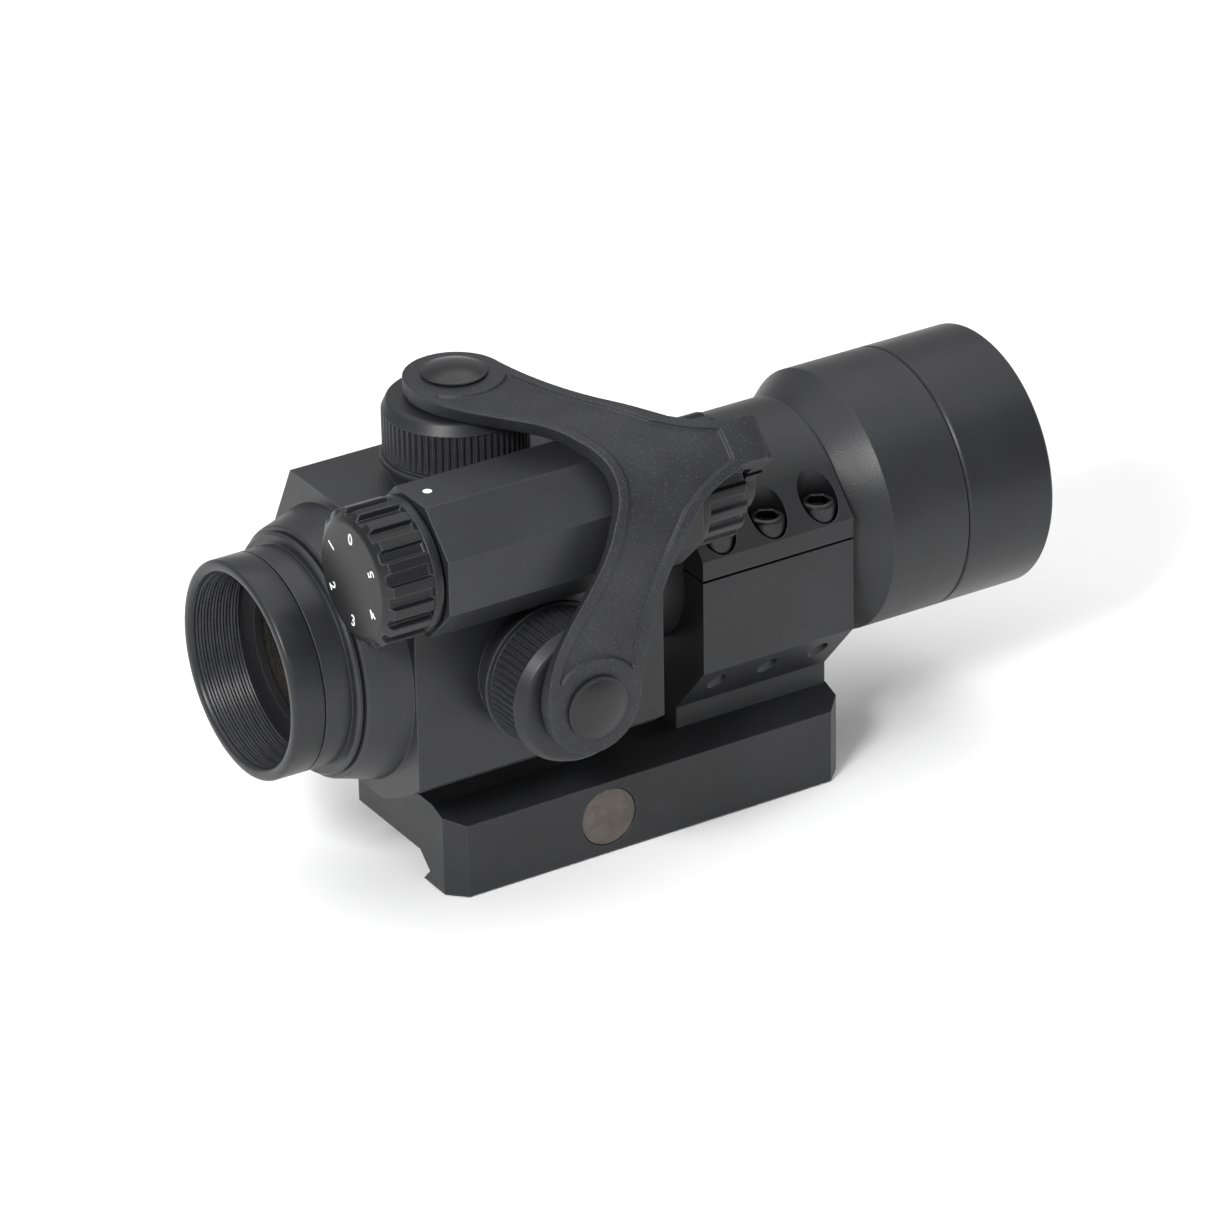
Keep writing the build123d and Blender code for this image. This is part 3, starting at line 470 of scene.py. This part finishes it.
def brightness_dial():
    node_name = "brightness_dial"
    low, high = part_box(node_name)
    centre = (low + high) / 2
    length = (high.x - low.x) / MM
    outer = 11.8
    face = 9.9
    flange = length - 1.8
    place = axis_frame(Vector((low.x, centre.y, centre.z)), (1, 0, 0))
    ribs = 18

    def shape(along, radius, angle):
        if radius < face + 0.2 or not 0.2 < along < flange + 0.05:
            return radius
        valley = outer - 1.15
        crest = outer - 0.1 * abs(math.sin(angle * ribs / 2))
        end = min(1.0, max(0.0, (flange + 0.02 - along) / 0.35))
        cut = valley + (crest - valley) * wave(angle, ribs, 0.42, 0.16)
        cut = cut if along < flange - 0.35 else cut + (outer - 0.55 - cut) * (1 - end) * 0.6
        return min(radius, max(cut, face))

    profile = [(0, 0), (0, face - 0.55), (0.05, face - 0.25), (0.16, face)]
    profile += [(x, face + 0.25 + (x - 0.3) * 1.55) for x in spaced(0.3, 1.25, 6)]
    profile += [(1.45, outer)]
    profile += [(x, outer) for x in spaced(1.7, flange - 0.4, 4)]
    profile += [(x, outer) for x in spaced(flange - 0.34, flange, 4)]
    profile += [(flange + 0.06, outer - 0.62), (flange + 0.14, outer - 0.42)]
    profile += [(flange + 0.4, outer - 0.3)]
    profile += [(length - 0.3, outer - 0.3), (length - 0.08, outer - 0.42), (length, outer - 0.7)]
    profile += [(length, 3.1), (3.0, 3.1), (3.0, 0)]
    mesh = lathe("brightness_dial_ribbed", profile, place, ribs * 28, shape)
    obj = new_object("brightness_dial_ribbed", mesh, node_name, sharp_deg=30)
    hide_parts(node_name)

    digit_size = 2.75
    digit_circle = 7.4
    for digit in range(6):
        angle = math.radians(60 * digit)
        curve = bpy.data.curves.new(f"digit_{digit}", "FONT")
        curve.body = str(digit)
        curve.size = digit_size * MM
        curve.align_x = "CENTER"
        curve.align_y = "CENTER"
        curve.extrude = 0.015 * MM
        curve.offset = 0.03 * MM
        text = bpy.data.objects.new(f"digit_{digit}_text", curve)
        scene.collection.objects.link(text)
        bpy.context.view_layer.update()
        glyph = bpy.data.meshes.new_from_object(text)
        bpy.data.objects.remove(text)
        # the face looks along -X; each digit's foot points outwards, 0 on top, counting towards +Y
        outward = Vector((0, math.sin(angle), math.cos(angle)))
        up = -outward
        out = Vector((-1, 0, 0))
        side = up.cross(out)
        spot = Vector((low.x - 0.012 * MM, centre.y, centre.z)) + outward * digit_circle * MM
        turn = Matrix((side, up, out)).transposed().to_4x4()
        glyph.transform(Matrix.Translation(spot) @ turn)
        new_object(f"dial_digit_{digit}", glyph, node_name, PRINT_WHITE)


brightness_dial()


def index_dot():
    """Painted dot on the housing's top facet, behind it the dial's setting is read."""
    low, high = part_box("brightness_dial")
    centre = (low + high) / 2
    top = centre.z + 11.7 * MM
    spot = Vector((high.x + 4.1 * MM, centre.y + 0.4 * MM, top))
    mesh = lathe("index_dot", [(-0.01, 0), (-0.01, 0.78), (0.012, 0.76), (0.022, 0.6), (0.022, 0)],
                 axis_frame(spot, (0, 0, 1)), 48)
    new_object("index_dot", mesh, "tube_body", PRINT_WHITE)


index_dot()


# ======================================================================================
# Battery cap
# ======================================================================================


def battery_cap():
    node_name = "battery_cap"
    low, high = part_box(node_name)
    centre = (low + high) / 2
    length = (high.x - low.x) / MM
    outer = (high.z - low.z) / 2 / MM
    spigot = 6.0
    place = axis_frame(Vector((low.x, centre.y, centre.z)), (1, 0, 0))
    flutes = 18

    def shape(along, radius, angle):
        if radius < outer - 1.4 or along < spigot + 1.5:
            return radius
        start = min(1.0, max(0.0, (along - spigot - 1.5) / 0.4))
        return radius - 0.85 * start * (1 - wave(angle, flutes, 0.40, 0.22))

    profile = [(0, 0), (0, 8.6), (0.35, 8.95), (2.6, 8.95)]
    profile += [(2.7, 8.1), (4.9, 8.1), (5.0, 8.95), (spigot, 8.95)]
    profile += [(spigot, outer - 0.3), (spigot + 0.1, outer - 0.08), (spigot + 0.3, outer)]
    profile += [(spigot + 1.2, outer), (spigot + 1.5, outer), (spigot + 1.65, outer)]
    profile += [(spigot + 1.8, outer), (spigot + 2.0, outer)]
    profile += [(length - 1.0, outer), (length - 0.7, outer - 0.1), (length - 0.25, outer - 0.6)]
    profile += [(length - 0.06, outer - 1.0), (length, outer - 1.4)]
    profile += [(length, 2.4), (length - 4, 2.4), (length - 4, 0)]
    mesh = lathe("battery_cap_fluted", profile, place, flutes * 24, shape)
    obj = new_object("battery_cap_fluted", mesh, node_name, sharp_deg=30)
    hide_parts(node_name)


battery_cap()


# ======================================================================================
# Eyepiece ring with its fine internal thread
# ======================================================================================


def eyepiece_ring():
    node_name = "eyepiece_ring"
    low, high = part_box(node_name)
    centre = (low + high) / 2
    length = (high.x - low.x) / MM
    outer = (high.z - low.z) / 2 / MM
    pitch = 0.6
    depth = 0.26
    bore = 16.8
    spigot = outer - 1.2
    head = length - 4.1

    def shape(along, radius, angle):
        if abs(radius - bore) > 0.01 or not 0.5 < along < length - 0.2:
            return radius
        phase = (along / pitch - angle / (2 * math.pi)) % 1.0
        ridge = 1 - abs(phase - 0.5) * 2
        fade = min(1.0, (along - 0.5) / 0.8, (length - 0.2 - along) / 0.5)
        return radius - depth * ridge * max(0.0, fade)

    threads = round((length - 1.0) / pitch * 6)
    profile = [(x, bore) for x in spaced(length, 0.62, threads)]
    profile += [(0.42, bore + 0.1), (0.2, bore + 0.3), (0.06, bore + 0.55), (0, bore + 0.85)]
    profile += [(0, outer - 0.75), (0.06, outer - 0.5), (0.22, outer - 0.22)]
    profile += [(0.48, outer - 0.05), (0.8, outer)]
    profile += [(head - 0.28, outer), (head - 0.08, outer - 0.08), (head, outer - 0.3)]
    profile += [(head, spigot), (length, spigot)]
    place = axis_frame(Vector((low.x, centre.y, centre.z)), (1, 0, 0))
    mesh = lathe("eyepiece_ring_threaded", profile, place, 256, shape)
    obj = new_object("eyepiece_ring_threaded", mesh, node_name, sharp_deg=50)
    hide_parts(node_name)


eyepiece_ring()


# ======================================================================================
# Ring screws, cross bolt and clamp knob
# ======================================================================================


def ring_screws():
    """Six socket cap screws, three a side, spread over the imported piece's box."""
    node_name = "ring_screws"
    low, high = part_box(node_name)
    head = 3.1
    tall = 3.2
    socket = 2.0
    length = (high.z - low.z) / MM
    middle = (low.x + high.x) / 2
    step = (high.x - low.x) / 2 - head * MM

    def shape(along, radius, angle):
        if abs(radius - socket) > 0.01:
            return radius
        turn = angle % (math.pi / 3) - math.pi / 6
        return socket * math.cos(math.pi / 6) / math.cos(turn)

    start = length - tall
    profile = [(0, 0), (0, 1.35), (0.25, 1.6), (start, 1.6), (start, head - 0.12), (start + 0.12, head)]
    profile += [(length - 0.75, head)]
    profile += [
        (length - 0.7 * (1 - math.sin(a)), head - 0.75 * (1 - math.cos(a)))
        for a in spaced(0.1, math.pi / 2, 7)
    ]
    profile += [(length, socket + 0.22), (length - 0.2, socket)]
    profile += [(length - 1.7, socket), (length - 1.9, 0)]
    pieces = bmesh.new()
    for side in (low.y + head * MM, high.y - head * MM):
        for i in (-1, 0, 1):
            place = axis_frame(Vector((middle + i * step, side, low.z)), (0, 0, 1))
            pieces.from_mesh(lathe("one_screw", profile, place, 48, shape))
    mesh = bpy.data.meshes.new("ring_screws_socketed")
    pieces.to_mesh(mesh)
    pieces.free()
    obj = new_object("ring_screws_socketed", mesh, node_name, sharp_deg=35)
    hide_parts(node_name)


def cross_bolt():
    node_name = "cross_bolt"
    low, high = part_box(node_name)
    length = (high.y - low.y) / MM
    pitch = 0.8
    thread_start = length - 14.0

    def shape(along, radius, angle):
        if abs(radius - 2.5) > 0.01 or not thread_start < along < length - 0.6:
            return radius
        phase = (along / pitch - angle / (2 * math.pi)) % 1.0
        return radius - 0.36 * abs(phase - 0.5) * 2

    profile = [(0, 0), (0, 5.05), (0.06, 5.2), (0.2, 5.3), (3.1, 5.3), (3.2, 5.2), (3.2, 2.5)]
    profile += [(x, 2.5) for x in spaced(thread_start, length - 0.5, round(13.5 / pitch * 6))]
    profile += [(length, 1.9), (length, 0)]
    centre = (low + high) / 2
    place = axis_frame(Vector((centre.x, low.y, centre.z)), (0, 1, 0))
    mesh = lathe("cross_bolt_threaded", profile, place, 72, shape)
    obj = new_object("cross_bolt_threaded", mesh, node_name, sharp_deg=50)
    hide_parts(node_name)


def clamp_knob():
    node_name = "clamp_knob"
    low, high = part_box(node_name)
    length = (high.y - low.y) / MM
    outer = (high.z - low.z) / 2 / MM
    flutes = 24

    def shape(along, radius, angle):
        if radius < outer - 0.05 or not 0.7 < along < length - 0.6:
            return radius
        fade = min(1.0, (along - 0.7) / 0.4, (length - 0.6 - along) / 0.4)
        return radius - 0.6 * fade * (1 - wave(angle, flutes, 0.35, 0.4))

    profile = [(0, 2.55), (0, outer - 0.9), (0.1, outer - 0.6), (0.5, outer)]
    profile += [(x, outer) for x in spaced(0.7, length - 0.6, 16)]
    profile += [(length - 0.45, outer), (length - 0.1, outer - 0.5), (length, outer - 0.9)]
    profile += [(length, 4.2), (length - 0.5, 4.0), (length - 0.5, 2.9), (length - 0.7, 2.55)]
    centre = (low + high) / 2
    place = axis_frame(Vector((centre.x, low.y, centre.z)), (0, 1, 0))
    mesh = lathe("clamp_knob_fluted", profile, place, flutes * 16, shape)
    obj = new_object("clamp_knob_fluted", mesh, node_name, sharp_deg=32)
    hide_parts(node_name)


ring_screws()
cross_bolt()
clamp_knob()


# ======================================================================================
# Rubber keeper strap
# ======================================================================================


def keeper_strap():
    """The sheet with every edge rounded, as moulded rubber is."""
    node_name = "retaining_strap"
    obj = new_object("keeper_strap", nodes[node_name].data.copy(), node_name)
    weld = obj.modifiers.new("weld", "WELD")
    weld.merge_threshold = 1e-6
    remesh = obj.modifiers.new("remesh", "REMESH")
    remesh.mode = "VOXEL"
    remesh.voxel_size = 0.22 * MM
    smooth = obj.modifiers.new("smooth", "SMOOTH")
    smooth.factor = 0.5
    smooth.iterations = 3
    applied(obj)
    low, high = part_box(node_name)
    house_low, house_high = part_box("battery_cap")
    house = (house_low + house_high) / 2
    slant = Vector((0, -1, 1)).normalized()
    face = 16.4 * MM
    # where the flat top, the slanted middle and the upright leaf meet, seen along X
    top_bend = (high.z - house.z, Vector((0, -math.sin(math.pi / 8), math.cos(math.pi / 8))))
    side_bend = (house.y - low.y, Vector((0, -math.cos(math.pi / 8), math.sin(math.pi / 8))))
    corners = []
    for reach, bisector in (top_bend, side_bend):
        other = face * math.sqrt(2) - reach
        spot = Vector((0, house.y - other, house.z + reach))
        if bisector is side_bend[1]:
            spot = Vector((0, house.y - reach, house.z + other))
        along = Vector((1, 0, 0)).cross(bisector)
        corners.append((spot, bisector, along, math.tan(math.pi / 8), 7.5 * MM))
    tip = Vector((high.x, house.y, house.z)) + slant * face
    bisector = (slant + Vector((1, 0, 0))).normalized()
    along = (Vector((1, 0, 0)) - slant).normalized()
    corners.append((tip, bisector, along, 1.0, 3.6 * MM))
    for spot, bisector, along, slope, width in corners:
        for vertex in obj.data.vertices:
            offset = vertex.co - spot
            near = abs(offset.dot(along))
            if near < width and abs(offset.dot(bisector)) < 9 * MM:
                vertex.co -= bisector * slope * (width - near) ** 2 / (2 * width)
    dress(obj, LOOKS["strap_rubber"], 180)
    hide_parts(node_name)


keeper_strap()

# ======================================================================================
# Floor, light and camera
# ======================================================================================


def studio():
    low, high = CAD_BOX
    mesh = bpy.data.meshes.new("floor")
    half = 6.0
    z = low.z - 0.0002
    corners = [(-half, -half, z), (half, -half, z), (half, half, z), (-half, half, z)]
    mesh.from_pydata(corners, [], [(0, 1, 2, 3)])
    floor = bpy.data.objects.new("floor", mesh)
    scene.collection.objects.link(floor)
    s = Shader("floor_paper")
    tone = s.ramp(s.noise(0.4, 2), [(0.3, (0.90, 0.90, 0.90)), (0.7, (0.93, 0.93, 0.93))])
    s.set(Base_Color=tone, Roughness=0.9)
    mesh.materials.append(s.mat)

    world = bpy.data.worlds.new("studio")
    world.use_nodes = True
    world.node_tree.nodes["Background"].inputs["Color"].default_value = (1, 1, 1, 1)
    world.node_tree.nodes["Background"].inputs["Strength"].default_value = 0.46
    scene.world = world

    def softbox(name, place, aim, size, power):
        light = bpy.data.lights.new(name, "AREA")
        light.shape = "RECTANGLE"
        light.size, light.size_y = size
        light.energy = power
        obj = bpy.data.objects.new(name, light)
        obj.location = place
        obj.rotation_mode = "QUATERNION"
        obj.rotation_quaternion = (Vector(aim) - Vector(place)).to_track_quat("-Z", "Y")
        scene.collection.objects.link(obj)

    centre = (low + high) / 2
    softbox("key", (-0.61, -0.40, 0.56), centre, (0.22, 0.16), 7.5)
    softbox("overhead", (0.0, 0.15, 1.6), centre, (2.4, 2.4), 26.0)
    softbox("front_fill", (-0.1, -0.95, 0.34), centre, (0.5, 0.25), 0.7)
    scene.view_settings.view_transform = "Standard"


def camera():
    azimuth, elevation, roll = (math.radians(a) for a in (-31.567, 27.314, -1.016))
    back = Vector((
        math.sin(azimuth) * math.cos(elevation),
        -math.cos(azimuth) * math.cos(elevation),
        math.sin(elevation),
    ))
    right = (-back).cross(Vector((0, 0, 1))).normalized()
    up = right.cross(-back)
    right, up = (
        right * math.cos(roll) + up * math.sin(roll),
        up * math.cos(roll) - right * math.sin(roll),
    )
    data = bpy.data.cameras.new("camera")
    data.sensor_width = 36.0
    data.lens = 191.65
    data.clip_start = 0.05
    data.clip_end = 30
    obj = bpy.data.objects.new("camera", data)
    aim = Vector((0.5, 0, 25.0)) * MM
    obj.location = aim + back * 1101.02 * MM + right * 1.92 * MM + up * 5.44 * MM
    obj.rotation_mode = "QUATERNION"
    obj.rotation_quaternion = Matrix((right, up, back)).transposed().to_quaternion()
    scene.collection.objects.link(obj)
    scene.camera = obj


studio()
camera()
